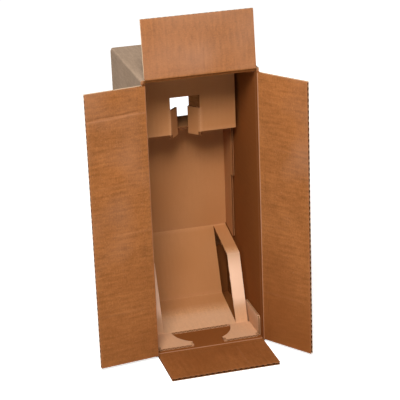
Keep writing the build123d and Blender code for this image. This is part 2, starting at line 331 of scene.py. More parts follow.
def paper_material(name, colour, pitch, washboard_shade, speck, grain=1.0, wear=0.55):
    """Kraft paper on board: fibres, cloudiness, flute lines painted as stripes of shade, specks, worn creases
    with painted highlights, and faded tones which also paint light and shade.

    The board map runs across the flutes in its first direction and along them in its second.
    """
    material, tree, shader = matt_material(name)
    board_map = shader_node(tree, "ShaderNodeUVMap", uv_map="board").outputs[0]
    place = shader_node(tree, "ShaderNodeTexCoord").outputs["Object"]
    across = shader_node(tree, "ShaderNodeSeparateXYZ")
    link(tree, board_map, across.inputs[0])

    cloud = noise_value(tree, place, 14.0, detail=4.0)
    wander = noise_value(tree, place, 22.0, detail=2.0, seed=1.7)
    grit = noise_value(tree, place, 480.0, detail=2.0, seed=4.2)
    flecks = noise_value(tree, place, 650.0, detail=1.0, seed=7.7)
    mottle = noise_value(tree, board_map, 150.0, stretch=(1.0, 0.5, 1.0), seed=5.3)
    streak = noise_value(tree, board_map, 330.0, stretch=(1.0, 0.12, 1.0), seed=9.1)
    long_fibre = noise_value(tree, board_map, 420.0, stretch=(0.16, 2.2, 1.0), detail=2.0, seed=3.1)
    fibre = noise_value(tree, board_map, 900.0, stretch=(0.35, 1.6, 1.0), detail=4.0)
    phase = maths(tree, "ADD", maths(tree, "MULTIPLY", across.outputs[0], 2 * pi / pitch),
                  maths(tree, "MULTIPLY", wander, 1.6))
    wave = maths(tree, "SINE", phase)

    # Flute lines: stripes of painted shade along the flutes, on top of the bump below
    shade = maths(tree, "MULTIPLY", wave, washboard_shade)
    fields = (
        (cloud, 0.1), (mottle, 0.11), (fibre, 0.13), (long_fibre, 0.07), (streak, 0.12), (grit, 0.1))
    for field, most in fields:
        shade = maths(tree, "ADD", shade, spread(tree, field, NOISE_LOW, NOISE_HIGH, -most, most))
    bright = maths(tree, "ADD", maths(tree, "MULTIPLY", shade, grain), 1.0)
    base = mixed(tree, "MULTIPLY", 1.0, colour, bright)

    pale = toned(colour, 1.4, 0.07)
    for low, high, tone in ((0.69, 0.74, pale), (0.31, 0.26, toned(colour, 0.62))):
        base = mixed(tree, "MIX", maths(tree, "MULTIPLY", spread(tree, flecks, low, high), speck), base, tone)

    # The fade attribute picks a tone: dusty above zero, paler still above one, darker and richer below zero.
    # Besides real fading in patches, it carries painted shade inside the carton, on the insert and on flaps'
    # lower ends, and painted light on the insert's low front and at the creases
    fade = attribute_value(tree, "fade")
    rich = (colour[0] * 0.75, colour[1] * 0.63, colour[2] * 0.51)
    tones = ((0.0, 1.0, toned(colour, 0.93, 0.11)), (0.0, -1.0, rich), (1.0, 2.0, toned(colour, 1.15, 0.3)))
    for low, high, tone in tones:
        base = mixed(tree, "MIX", spread(tree, fade, low, high), base, tone)

    # Paler where the wear attribute is high: worn paper, and on the crease liners also a painted highlight
    rub = maths(tree, "MULTIPLY", attribute_value(tree, "wear"), spread(tree, fibre, 0.35, 0.62, 0.35, 1.0))
    base = mixed(tree, "MIX", maths(tree, "MULTIPLY", rub, wear), base, pale)
    link(tree, base, shader.inputs["Base Color"])

    height = maths(tree, "ADD", maths(tree, "MULTIPLY", wave, 0.55), maths(tree, "MULTIPLY", fibre, 0.5))
    height = maths(tree, "ADD", height, maths(tree, "MULTIPLY", long_fibre, 0.4))
    bump = shader_node(tree, "ShaderNodeBump", Strength=0.35, Distance=0.00012)
    link(tree, height, bump.inputs["Height"])
    link(tree, bump.outputs[0], shader.inputs["Normal"])


def papers(*names):
    """The papers of these names; all five are made once."""
    colours = bpy.context.scene.bottle_box_colours
    if "outer_liner" not in bpy.data.materials:
        matt_material("cut_paper", tuple(colours.cut))
        paper_material("outer_liner", tuple(colours.outer), FLUTE_PITCH, 0.03, 0.5, grain=0.7)
        paper_material("inner_liner", tuple(colours.inner), FLUTE_PITCH, 0.035, 0.35)
        paper_material("insert_paper", tuple(colours.sheet), SHEET_PITCH, 0.02, 0.35, grain=0.6)
        paper_material("fluting_paper", tuple(colours.shaded_medium), FLUTE_PITCH, 0.0, 0.6, wear=0.0)
    return [bpy.data.materials[name] for name in names]


# Stage

def direction(azimuth, elevation):
    """The way out from the box, turned from the front towards the right and raised."""
    flat = cos(elevation)
    return Vector((sin(azimuth) * flat, -cos(azimuth) * flat, sin(elevation)))


class BOX_OT_stage(bpy.types.Operator):
    """Pale floor, soft light and the camera"""

    bl_idname = "bottle_box.stage"
    bl_label = "Stage"

    def execute(self, context):
        scene = context.scene
        stage = scene.bottle_box_stage
        scene.view_settings.view_transform = "Standard"

        bpy.ops.mesh.primitive_plane_add(size=FLOOR_SIZE, location=(0, 0, -FLOOR_DROP))
        floor = context.object
        floor.name = "stage_floor"
        floor.data.materials.append(self.floor_material())

        self.lamp(scene, "key_light", stage.key_power, KEY_SIZE, stage.key_azimuth, stage.key_elevation)
        self.lamp(scene, "side_light", stage.side_power, FILL_SIZE, *SIDE_ANGLES)
        self.lamp(scene, "back_light", stage.back_power, FILL_SIZE, *BACK_ANGLES)
        self.room_light(scene, stage.room)
        self.camera(scene, stage.focal)
        return {"FINISHED"}

    def lamp(self, scene, name, power, size, azimuth, elevation):
        """A round soft light that aims at the middle of the box."""
        light = bpy.data.lights.new(name, "AREA")
        light.shape = "DISK"
        light.size = size
        light.energy = power
        light.color = LAMP_COLOUR
        lamp = bpy.data.objects.new(name, light)
        scene.collection.objects.link(lamp)
        lamp.location = LAMP_AIM + LAMP_DISTANCE * direction(azimuth, elevation)
        lamp.rotation_euler = (LAMP_AIM - lamp.location).to_track_quat("-Z", "Y").to_euler()

    def floor_material(self):
        """Pale and matt, with white added for the camera, so that only the soft shadow shows."""
        material, tree, shader = matt_material("pale_floor", (0.9, 0.9, 0.9))
        shader.inputs["Emission Color"].default_value = (1, 1, 1, 1)
        place = shader_node(tree, "ShaderNodeTexCoord").outputs["Object"]
        reach = shader_node(tree, "ShaderNodeVectorMath", operation="LENGTH")
        link(tree, place, reach.inputs[0])
        white = spread(tree, reach.outputs["Value"], 0.25, 0.9, 0.74, 0.88)
        white = maths(tree, "ADD", white, spread(tree, reach.outputs["Value"], 1.2, 4.0, 0.0, 0.1))
        link(tree, maths(tree, "MULTIPLY", seen_directly(tree), white), shader.inputs["Emission Strength"])
        return material

    def room_light(self, scene, strength):
        """Even weak light on the box, and plain white where the camera sees past it."""
        world = bpy.data.worlds.new("room")
        scene.world = world
        world.use_nodes = True
        tree = world.node_tree
        background = tree.nodes["Background"]
        background.inputs["Color"].default_value = (1, 1, 1, 1)
        level = spread(tree, seen_directly(tree), 0.0, 1.0, strength, 1.0)
        link(tree, level, background.inputs["Strength"])

    def camera(self, scene, focal):
        """The camera, with its roll about the line of sight."""
        data = bpy.data.cameras.new("camera")
        data.lens = focal
        data.sensor_width = 36.0
        data.clip_start = 0.05
        data.clip_end = 30.0
        camera = bpy.data.objects.new("camera", data)
        scene.collection.objects.link(camera)
        azimuth, elevation, roll = CAMERA_ANGLES
        back = direction(azimuth, elevation)
        right = Vector((0, 0, 1)).cross(back).normalized()
        up = back.cross(right)
        turned_right = cos(roll) * right + sin(roll) * up
        turned_up = cos(roll) * up - sin(roll) * right
        camera.matrix_world = Matrix.Translation(CAMERA_PLACE) @ Matrix(
            (turned_right, turned_up, back)).transposed().to_4x4()
        scene.camera = camera


# Flaps

def smooth(share):
    """Rises softly from 0 to 1."""
    share = min(1.0, max(0.0, share))
    return share * share * (3.0 - 2.0 * share)


def steps_between(low, high, size):
    """Even steps, no longer than a size, with both ends."""
    count = max(1, ceil((high - low) / size))
    return [low + (high - low) * i / count for i in range(count + 1)]


def finished(name, mesh):
    """An object of a mesh, linked to the scene."""
    made = bpy.data.objects.new(name, mesh)
    bpy.context.scene.collection.objects.link(made)
    return made


def sheet_object(name, corners, faces, materials, slots, maps, wear, fade):
    """An object of thin sheets with its board map and its paint, and with outward normals."""
    mesh = bpy.data.meshes.new(name)
    mesh.from_pydata(corners, [], faces)
    for material in materials:
        mesh.materials.append(material)
    mesh.polygons.foreach_set("material_index", slots)
    layer = mesh.uv_layers.new(name="board")
    for loop in mesh.loops:
        layer.data[loop.index].uv = maps[loop.vertex_index]
    for label, values in (("wear", wear), ("fade", fade)):
        mesh.attributes.new(label, "FLOAT", "POINT").data.foreach_set("value", values)
    turned = bmesh.new()
    turned.from_mesh(mesh)
    bmesh.ops.recalc_face_normals(turned, faces=turned.faces)
    turned.to_mesh(mesh)
    turned.free()
    mesh.update()
    return finished(name, mesh)


def flute_tree():
    """Geometry nodes for the wavy paper in a board: one wave, repeated along the board."""
    name = "flute_wave"
    if name in bpy.data.node_groups:
        return bpy.data.node_groups[name]
    tree = bpy.data.node_groups.new(name, "GeometryNodeTree")
    tree.is_modifier = True
    ports = tree.interface
    kinds = {
        "Pitch": "Float", "Height": "Float", "Length": "Float", "Waves": "Int", "Steps": "Int",
        "Material": "Material"}
    for label, kind in kinds.items():
        ports.new_socket(label, in_out="INPUT", socket_type="NodeSocket" + kind)
    ports.new_socket("Geometry", in_out="OUTPUT", socket_type="NodeSocketGeometry")
    given = tree.nodes.new("NodeGroupInput")
    result = tree.nodes.new("NodeGroupOutput")

    strip = tree.nodes.new("GeometryNodeMeshGrid")
    strip.inputs["Vertices X"].default_value = WAVE_STEPS + 1
    link(tree, given.outputs["Pitch"], strip.inputs["Size X"])
    link(tree, given.outputs["Length"], strip.inputs["Size Y"])
    link(tree, given.outputs["Steps"], strip.inputs["Vertices Y"])

    place = tree.nodes.new("GeometryNodeInputPosition")
    split = tree.nodes.new("ShaderNodeSeparateXYZ")
    link(tree, place.outputs[0], split.inputs[0])
    turn = maths(tree, "DIVIDE", maths(tree, "MULTIPLY", split.outputs[0], 2 * pi), given.outputs["Pitch"])
    crest = maths(tree, "MULTIPLY", maths(tree, "COSINE", turn), CREST)
    crest = maths(tree, "MAXIMUM", maths(tree, "MINIMUM", crest, 1.0), -1.0)
    lift = maths(tree, "MULTIPLY", crest, maths(tree, "MULTIPLY", given.outputs["Height"], 0.5))
    joined = tree.nodes.new("ShaderNodeCombineXYZ")
    link(tree, split.outputs[0], joined.inputs[0])
    link(tree, split.outputs[1], joined.inputs[1])
    link(tree, lift, joined.inputs[2])
    waved = tree.nodes.new("GeometryNodeSetPosition")
    link(tree, strip.outputs["Mesh"], waved.inputs["Geometry"])
    link(tree, joined.outputs[0], waved.inputs["Position"])

    line = tree.nodes.new("GeometryNodeMeshLine")
    step = tree.nodes.new("ShaderNodeCombineXYZ")
    link(tree, given.outputs["Pitch"], step.inputs[0])
    link(tree, given.outputs["Waves"], line.inputs["Count"])
    link(tree, step.outputs[0], line.inputs["Offset"])
    spots = tree.nodes.new("GeometryNodeInstanceOnPoints")
    link(tree, line.outputs["Mesh"], spots.inputs["Points"])
    link(tree, waved.outputs["Geometry"], spots.inputs["Instance"])
    real = tree.nodes.new("GeometryNodeRealizeInstances")
    link(tree, spots.outputs["Instances"], real.inputs["Geometry"])
    merged = tree.nodes.new("GeometryNodeMergeByDistance")
    merged.inputs["Distance"].default_value = 0.00001
    link(tree, real.outputs["Geometry"], merged.inputs["Geometry"])
    paint = tree.nodes.new("GeometryNodeSetMaterial")
    link(tree, merged.outputs["Geometry"], paint.inputs["Geometry"])
    link(tree, given.outputs["Material"], paint.inputs["Material"])
    link(tree, paint.outputs["Geometry"], result.inputs["Geometry"])
    return tree


def flute_points(length, width, pitch, height, material):
    """Corners and faces of the wavy paper: along the flutes, across the board, across the flutes."""
    tree = flute_tree()
    holder = finished("flute_holder", bpy.data.meshes.new("flute_holder"))
    modifier = holder.modifiers.new("flute", "NODES")
    modifier.node_group = tree
    waves = ceil(width / pitch)
    values = {
        "Pitch": pitch, "Height": height, "Length": length, "Waves": waves, "Steps": WAVE_ROWS,
        "Material": material}
    for item in tree.interface.items_tree:
        if item.in_out == "INPUT":
            modifier[item.identifier] = values[item.name]
    thick = holder.modifiers.new("thick", "SOLIDIFY")
    thick.thickness = MEDIUM
    thick.offset = 0.0
    bpy.context.view_layer.update()
    seen = holder.evaluated_get(bpy.context.evaluated_depsgraph_get())
    mesh = bpy.data.meshes.new_from_object(seen)
    shift = (waves - 1) * pitch / 2
    corners = [(v.co.y, v.co.z, v.co.x - shift) for v in mesh.vertices]
    faces = [tuple(reversed(f.vertices)) for f in mesh.polygons]
    bpy.data.objects.remove(holder)
    bpy.data.meshes.remove(mesh)
    return corners, faces


class BoardShape:
    """Grows one mesh with its board map, its wear and its papers."""

    def __init__(self, reach):
        self.reach = reach
        self.corners = []
        self.wear = []
        self.maps = []
        self.faces = []
        self.papers = []

    def add(self, corners, faces, paper, wear):
        """Corners are (along the flutes, through the board, across the flutes)."""
        start = len(self.corners)
        self.corners += corners
        self.maps += [(w, u) for u, v, w in corners]
        self.wear += [wear(u, w) for u, v, w in corners]
        self.faces += [tuple(start + i for i in face) for face in faces]
        for face in faces:
            end = paper == WAVED and all(corners[i][0] > self.reach - 0.5 * MM for i in face)
            self.papers.append(INNER if end else paper)

    def slab(self, u_steps, w_steps, low, high, paper, hidden, lining, wear):
        """A thin sheet between two height functions; its hidden side faces the hollows in another paper."""
        corners = []
        for level in (low, high):
            corners += [(u, level(u, w), w) for u in u_steps for w in w_steps]
        nu, nw = len(u_steps), len(w_steps)
        top = nu * nw

        def at(i, j, up):
            return (top if up else 0) + i * nw + j

        faces = []
        for i in range(nu - 1):
            for j in range(nw - 1):
                faces.append((at(i, j, 0), at(i + 1, j, 0), at(i + 1, j + 1, 0), at(i, j + 1, 0)))
                faces.append((at(i, j, 1), at(i, j + 1, 1), at(i + 1, j + 1, 1), at(i + 1, j, 1)))
        for i in range(nu - 1):
            faces.append((at(i, 0, 0), at(i, 0, 1), at(i + 1, 0, 1), at(i + 1, 0, 0)))
            faces.append((at(i, nw - 1, 0), at(i + 1, nw - 1, 0), at(i + 1, nw - 1, 1), at(i, nw - 1, 1)))
        for j in range(nw - 1):
            faces.append((at(0, j, 0), at(0, j + 1, 0), at(0, j + 1, 1), at(0, j, 1)))
            faces.append((at(nu - 1, j, 0), at(nu - 1, j, 1), at(nu - 1, j + 1, 1), at(nu - 1, j + 1, 0)))
        first = len(self.faces)
        self.add(corners, faces, paper, wear)
        for i in range((nu - 1) * (nw - 1)):
            self.papers[first + 2 * i + hidden] = lining

    def build(self, name, materials, place, fade):
        """The finished object, set in place, with outward normals."""
        corners = [place @ Vector(c) for c in self.corners]
        faded = [fade(u, w) for w, u in self.maps]
        return sheet_object(name, corners, self.faces, materials, self.papers, self.maps, self.wear, faded)


def rest_angle(name):
    """How far a flap stands open at rest."""
    return radians(-JOINTS[name]["range_deg"][0])


def flap_placing(name, opened):
    """From the shut flap's own directions to its place when opened by an angle."""
    hinge, axis = Vector(JOINTS[name]["pos_m"]), Vector(JOINTS[name]["axis"])
    inwards = Vector((0, 1, 0)) if name.startswith("front") else Vector((0, -1, 0))
    across = -axis
    along = inwards.cross(across)
    shut = Matrix((along, inwards, across)).transposed().to_4x4()
    return Matrix.Translation(hinge) @ Matrix.Rotation(opened, 4, axis) @ shut


def flap_size(name):
    """A flap's length from its crease and half its width, from its solid."""
    to_flap = flap_placing(name, rest_angle(name)).inverted()
    corners = [to_flap @ v.co for v in frame["nodes"]["flap_" + name].data.vertices]
    return max(c.x for c in corners), max(c.z for c in corners)


def dent_line(name, spot, share):
    """Where a dent runs across the flutes, at a share of the way to the flap's free edge."""
    return spot + DENT_SLANT.get(name, 0.0) * (1.0 - share)


def dent_marks(name, share, w):
    """How much paler the paper is painted in a line beside a flap's dents, at a share of the way to its free
    edge.
    """
    marks = 0.0
    for spot, start, end, depth in FLAP_DENTS[name]:
        if start - 0.05 <= share <= end + 0.05:
            marks += depth * exp(-((w - dent_line(name, spot, share) + 2.6 * MM) / (1.3 * MM)) ** 2)
    return marks


def flap_fade_and_shading(name, reach, u, w, side):
    """How faded a flap is at a spot, towards its free edge and in patches, with the painted light and shade
    of its tone and painted shade towards its lower end.
    """
    least, most = FLAP_FADE_AND_SHADING[name]
    patch = 0.25 * noise.noise(Vector((u * 22 + len(name), 5, w * 22)))
    low_shade = smooth(JOINTS[name]["axis"][2] * side) * FLAP_LOW_SHADE.get(name, 0.0)
    return least + (most - least) * reach + patch - low_shade


class BOX_OT_flaps(bpy.types.Operator):
    """The six flaps, each two liners on a wavy paper"""

    bl_idname = "bottle_box.flaps"
    bl_label = "Flaps"

    def execute(self, context):
        board = context.scene.bottle_box_board
        materials = papers("outer_liner", "inner_liner", "fluting_paper", "cut_paper")
        for name in FLAP_DENTS:
            node = "flap_" + name
            made = self.flap(name, board, materials)
            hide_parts(node)
            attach(made, name)
        return {"FINISHED"}

    def flap(self, name, board, materials):
        """One flap: liners with dents, bow and worn edges, and the waves between them."""
        length, half = flap_size(name)
        liner, crush = board.liner, board.crush
        bow = FLAP_BOW[name] * board.warp
        thick = board.board - bow
        seed = Vector((sum(map(ord, name)) * 0.37, 0, 0))
        root = 2 * liner + 1.5 * MM

        def sway(u, w):
            """How far the whole board leans from flat here."""
            share = u / length
            soft = 0.5 + 0.5 * noise.noise(seed + Vector((u * 9, 0, w * 9)))
            return bow * smooth(share * 3) * (0.5 * soft + 0.5 * cos(0.5 * pi * w / half) * share ** 2)

        def dent(u, w):
            """Pressed lines along a flute: how far the inner liner sinks."""
            sunk = 0.0
            share = u / length
            for spot, start, end, depth in FLAP_DENTS[name]:
                line = dent_line(name, spot, share)
                line += 1.2 * MM * noise.noise(seed + Vector((u * 60, spot * 100, 0)))
                off = (w - line) / (1.6 * MM)
                fade = smooth((share - start) * 12 + 0.5) * smooth((end - share) * 12 + 0.5)
                sunk += depth * MM * exp(-off * off) * fade
                sunk -= 0.3 * depth * MM * exp(-((off - 2.4) ** 2)) * fade
            return max(0.0, sunk)

        def top(u, w):
            """Height of the inner face over the outer one: pressed flat at the crease and at the corners."""
            rise = smooth((u - 1.2 * MM) / crush)
            corner = smooth((hypot(length - u, half - abs(w)) - 0.5 * MM) / (5 * MM))
            full = root + (thick - root) * rise * (0.82 + 0.18 * corner)
            return min(full, max(2 * liner, u - 0.1 * MM))

        def outer_low(u, w):
            return sway(u, w)

        def outer_high(u, w):
            return sway(u, w) + liner

        def inner_high(u, w):
            fine = 0.06 * MM * noise.noise(seed + Vector((u * 160, 3, w * 160)))
            return sway(u, w) + top(u, w) - dent(u, w) - abs(fine)

        def inner_low(u, w):
            return inner_high(u, w) - liner

        def wear(u, w):
            """How worn the paper is at the crease and the cut edges, and how much paler it is painted beside
            the dents.
            """
            crease = exp(-((u - 1.2 * MM - crush) / (0.8 * MM)) ** 2) * 0.5
            free = exp(-(length - u) / (0.9 * MM)) * 0.8
            side = exp(-(half - abs(w)) / (0.8 * MM)) * 0.8
            return min(1.0, max(crease, free, side, dent_marks(name, u / length, w)))

        far = steps_between(10.5 * MM, length - 3.0 * MM, 4.5 * MM)
        u_steps = [step * MM for step in ROOT_STEPS] + far + [length - 1.5 * MM, length - 0.6 * MM, length]
        edge_in = half - 3.0 * MM
        w_steps = [-half, -half + 0.5 * MM, -half + 1.3 * MM] + steps_between(-edge_in, edge_in, 1.6 * MM) + [
            half - 1.3 * MM, half - 0.5 * MM, half]
        shape = BoardShape(length)
        outer_lining = INNER if name == "front_bottom" else CUT
        shape.slab(u_steps, w_steps, outer_low, outer_high, OUTER, HIGH_SIDE, outer_lining, wear)
        inner_steps = [u for u in u_steps if u > 0.85 * MM]
        shape.slab(inner_steps, w_steps, inner_low, inner_high, INNER, LOW_SIDE, WAVED, wear)

        hollow = thick - 2 * liner
        corners, faces = flute_points(
            length - 1.2 * MM, 2 * half - board.pitch, board.pitch, hollow - MEDIUM, materials[WAVED])
        waved = []
        for u, v, w in corners:
            u = u + length / 2 + 0.6 * MM
            low, high = outer_high(u, w), inner_low(u, w)
            waved.append((min(u, length), low + (high - low) * (0.5 + v / hollow), w))
        shape.add(waved, faces, WAVED, lambda u, w: 0.0)
        return shape.build(
            "look_flap_" + name, materials, flap_placing(name, rest_angle(name)),
            lambda u, w: flap_fade_and_shading(name, u / length, u, w, w / half))


class BOX_OT_creases(bpy.types.Operator):
    """The liner that runs from a wall round the crease onto its open flap"""

    bl_idname = "bottle_box.creases"
    bl_label = "Crease liners"

    def execute(self, context):
        board = context.scene.bottle_box_board
        inner = papers("inner_liner")[0]
        for name in FLAP_DENTS:
            if rest_angle(name) >= OPEN_LEAST:
                self.strip(name, board.board, inner)
        return {"FINISHED"}

    def strip(self, name, thick, paper):
        """A thin sheet along the wall's inner face, round the corner and along the flap's inner face."""
        opened = rest_angle(name)
        place = flap_placing(name, 0.0)
        turn = Matrix.Rotation(-opened, 2)
        along = turn @ Vector((1, 0))
        wide = opened >= pi
        if wide:
            path = [Vector(at) * MM for at in WIDE_WALL]
            path += [turn @ Vector((at * MM, thick)) for at in WIDE_FLAP]
        else:
            path = self.bent_path(turn, along, thick)
        last = len(path) - 1
        reach = [thick + 3.5 * MM]
        for ahead, behind in zip(path[:0:-1], path[-2::-1]):
            reach.insert(0, reach[0] - (ahead - behind).length)
        half = flap_size(name)[1] - 0.3 * MM
        steps = steps_between(-half, half, 1.5 * MM)
        if not wide:
            made = self.sheet(name, path, reach, 0, last, steps, place, paper)
            start, end = place @ path[0].to_3d(), place @ path[last].to_3d()
            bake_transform(made)
            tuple(start)
            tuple(end)
            return
        on_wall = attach(self.sheet(name, path, reach, 0, len(WIDE_WALL) - 1, steps, place, paper), "carton")
        on_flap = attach(self.sheet(name, path, reach, len(WIDE_WALL), last, steps, place, paper), name)
        clear = thick + 0.3 * MM
        folds = (
            (on_wall, Vector((0, 1)), Vector((thick, clear))),
            (on_flap, along, turn @ Vector((clear, thick))),
        )
        for half_sheet, way, anchor in folds:
            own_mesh(half_sheet)

    def bent_path(self, turn, along, thick):
        """The liner's line round the corner where the wall's and the flap's inner faces meet."""
        on_flap = turn @ Vector((thick, thick))
        if abs(along.x) > 0.05:
            corner = Vector((thick, on_flap.y + (thick - on_flap.x) / along.x * along.y))
        else:
            corner = (Vector((thick, thick)) + on_flap) / 2
        wall_end = Vector((thick, thick + 3.0 * MM))
        flap_end = on_flap + along * 3.5 * MM
        before = corner + (wall_end - corner).normalized() * 1.3 * MM
        after = corner + (flap_end - corner).normalized() * 1.3 * MM
        path = [wall_end.lerp(before, i / 4) for i in range(5)]
        for i in range(1, 5):
            t = i / 5
            path.append(before * (1 - t) ** 2 + corner * 2 * t * (1 - t) + after * t ** 2)
        return path + [after.lerp(flap_end, i / 4) for i in range(5)]

    def sheet(self, name, path, reach, first, final, steps, place, paper):
        """The part of the crease liner between two points of its path."""
        seed = Vector((sum(map(ord, name)) * 0.11, 0, 0))
        corners, wear, maps, fade = [], [], [], []
        last = len(path) - 1
        half = steps[-1]
        inside = (path[0] + path[last]) / 2
        corner = path[last // 2]
        rub_and_highlight = CREASE_RUB_AND_HIGHLIGHT[name]
        for side in (0, 1):
            for i in range(first, final + 1):
                point = path[i]
                ahead, behind = path[min(i + 1, final)], path[max(i - 1, first)]
                run = (ahead - behind).normalized()
                out = Vector((run.y, -run.x))
                if out.dot(corner - inside) < 0:
                    out = -out
                sink = 0.16 * MM if i in (0, last) else 0.0
                middle = exp(-((i - last / 2) / 1.5) ** 2)
                ridge = 0.35 * MM * min(1.0, rub_and_highlight) * middle
                on_wall = 1.0 - smooth(i / last * 1.6 - 0.3)
                for w in steps:
                    ruffle = 0.1 * MM * noise.noise(seed + Vector((w * 90, i * 0.4, 0))) * sin(pi * i / last)
                    lift = 0.12 * MM - sink + ruffle + ridge - (0.0 if side else 0.22 * MM)
                    at = point + out * lift
                    corners.append(place @ Vector((at.x, at.y, w)))
                    marks = dent_marks(name, LINER_SHARE, w) * (1.0 - on_wall)
                    # Paler at the corner of the crease: worn paper and a painted highlight
                    wear.append(max(marks, 1.5 * rub_and_highlight * middle))
                    on_flap = flap_fade_and_shading(name, LINER_SHARE, reach[i], w, w / half)
                    # Painted shade on the wall part, like the carton's inside, and paler at the corner as
                    # wear and painted highlight
                    fade.append(-0.8 * on_wall + on_flap * (1.0 - on_wall) + 1.6 * rub_and_highlight * middle)
                    maps.append((w, reach[i]))
        rows = final - first
        row, level = len(steps), len(steps) * (rows + 1)
        faces = []
        for i in range(rows):
            for j in range(row - 1):
                a = i * row + j
                faces.append((a, a + 1, a + row + 1, a + row))
                faces.append((level + a, level + a + row, level + a + row + 1, level + a + 1))
            for j in (0, row - 1):
                a = i * row + j
                faces.append((a, a + row, level + a + row, level + a))
        for i in (0, rows):
            for j in range(row - 1):
                a = i * row + j
                faces.append((a, level + a, level + a + 1, a + 1))
        title = "crease_" + name + ("" if rows == last else "_wall" if first == 0 else "_flap")
        made = sheet_object(title, corners, faces, [paper], [0] * len(faces), maps, wear, fade)
        return made


# Carton walls and insert

def tidy_copy(node):
    """A merged copy of a CAD node's mesh with its flat faces whole."""
    soft = bmesh.new()
    soft.from_mesh(frame["nodes"][node].data)
    bmesh.ops.remove_doubles(soft, verts=soft.verts, dist=1e-6)
    bmesh.ops.dissolve_limit(soft, angle_limit=radians(0.5), verts=soft.verts, edges=soft.edges)
    return soft


def is_wide(face, edge, least):
    """Whether a face reaches far from this edge, so it is a liner and not a cut edge."""
    return face.calc_area() / max(edge.calc_length(), 1e-9) > least


def soften_folds(soft, offset, least, direction):
    """Rounds the folds that run along a direction between two wide faces."""
    folds = []
    for edge in soft.edges:
        if len(edge.link_faces) != 2 or edge.calc_length() < 3 * MM:
            continue
        line = (edge.verts[1].co - edge.verts[0].co).normalized()
        if abs(line.dot(direction)) < 0.99:
            continue
        if edge.calc_face_angle(0.0) > radians(8) and all(is_wide(f, edge, least) for f in edge.link_faces):
            folds.append(edge)
    bmesh.ops.bevel(soft, geom=folds, offset=offset, segments=3, profile=0.5, affect="EDGES",
                    clamp_overlap=True, loop_slide=False)


def slice_all(soft, axis, places):
    """Cuts the mesh along planes so that it can bend."""
    direction = Vector([1.0 if i == axis else 0.0 for i in range(3)])
    for place in places:
        bmesh.ops.bisect_plane(
            soft, geom=soft.verts[:] + soft.edges[:] + soft.faces[:], dist=1e-7,
            plane_co=direction * place, plane_no=direction)


class BOX_OT_carton(bpy.types.Operator):
    """The carton's folded walls"""

    bl_idname = "bottle_box.carton"
    bl_label = "Carton walls"

    def execute(self, context):
        soft = tidy_copy("carton_body")
        low, high = CARTON_LOW, CARTON_HIGH
        for axis in range(3):
            slice_all(soft, axis, steps_between(low[axis], high[axis], WALL_STEP)[1:-1])
        slice_all(soft, 1, [low.y + cut * MM for cut in FRONT_CUTS])
        half_w, height = high.x, high.z
        inside = half_w - BOARD
        self.rub(soft, low.y, half_w, height)
        self.bend(soft, low.y, half_w, height, inside)
        # The paper inside the carton is painted darker and richer, as painted shade; elsewhere its tone
        # differs a little at random
        fade = soft.verts.layers.float.new("fade")
        for vert in soft.verts:
            between_sides = abs(vert.co.x) < inside + 1.2 * MM
            hidden = between_sides and BOARD - 1.2 * MM < vert.co.z < height - BOARD + 1.2 * MM
            vert[fade] = -0.9 if hidden else 0.15 * noise.noise(vert.co * 20)
        self.paint(soft, height, inside)
        materials = papers("outer_liner", "inner_liner") + [cut_edge_paper("carton_cut_edge", FLUTE_PITCH)]
        made = finish_copy(soft, "look_carton", materials)
        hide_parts("carton_body")
        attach(made, "carton")
        return {"FINISHED"}

    def rub(self, soft, front, half_w, height):
        """Worn paper along the front edge, the inner crease and the outer corners."""
        wear = soft.verts.layers.float.new("wear")
        crease_inner = front + BOARD + 4.3 * MM
        for vert in soft.verts:
            co = vert.co
            beyond = (abs(co.x) - half_w + 3 * MM, abs(co.z - height / 2) - height / 2 + 3 * MM)
            on_corner = hypot(max(0.0, beyond[0]), max(0.0, beyond[1]))
            vert[wear] = max(
                0.7 * exp(-((co.y - front) / (1.6 * MM)) ** 2),
                0.5 * exp(-((co.y - crease_inner) / (1.4 * MM)) ** 2),
                0.35 * smooth(on_corner / (4 * MM)))

    def bend(self, soft, front, half_w, height, inside):
        """Side walls that bulge a little and a top that sags a little."""
        depth = CARTON_HIGH.y - front
        for vert in soft.verts:
            co = vert.co
            share = (co.y - front) / depth
            if abs(co.x) > inside - 0.2 * MM:
                middle = sin(pi * min(1, max(0, share))) * sin(pi * co.z / height)
                bulge = (0.8 * MM + 0.14 * MM * noise.noise(co * 35)) * middle
                co.x += bulge * (1 if co.x > 0 else -1)
            elif co.z > height - BOARD - 3 * MM:
                co.z -= 0.8 * MM * sin(pi * (co.x + half_w) / (2 * half_w)) * sin(pi * share)

    def paint(self, soft, height, inside):
        """Outer liner, inner liner or cut edge for every face, and its board map."""
        board = soft.loops.layers.uv.new("board")
        for face in soft.faces:
            n, middle = face.normal, face.calc_center_median()
            side = abs(middle.x) > inside - 0.5 * MM and 0.5 * BOARD < middle.z < height - 0.5 * BOARD
            if abs(n.y) > 0.9:
                within = abs(middle.y) < CARTON_HIGH.y - 6 * MM
                behind = middle.y > CARTON_HIGH.y - 5.5 * MM and abs(middle.x) < inside
                face.material_index = INNER if within else OUTER if behind else CUT_EDGE
            elif side:
                face.material_index = OUTER if n.x * middle.x > 0 else INNER
            else:
                from_middle = middle.z - height / 2
                outside = n.z * from_middle > 0 and abs(from_middle) > height / 2 - 3.5 * MM
                face.material_index = OUTER if outside else INNER
            for loop in face.loops:
                co = loop.vert.co
                loop[board].uv = (co.z, co.y) if side or abs(n.x) > 0.7 else (co.x, co.y)


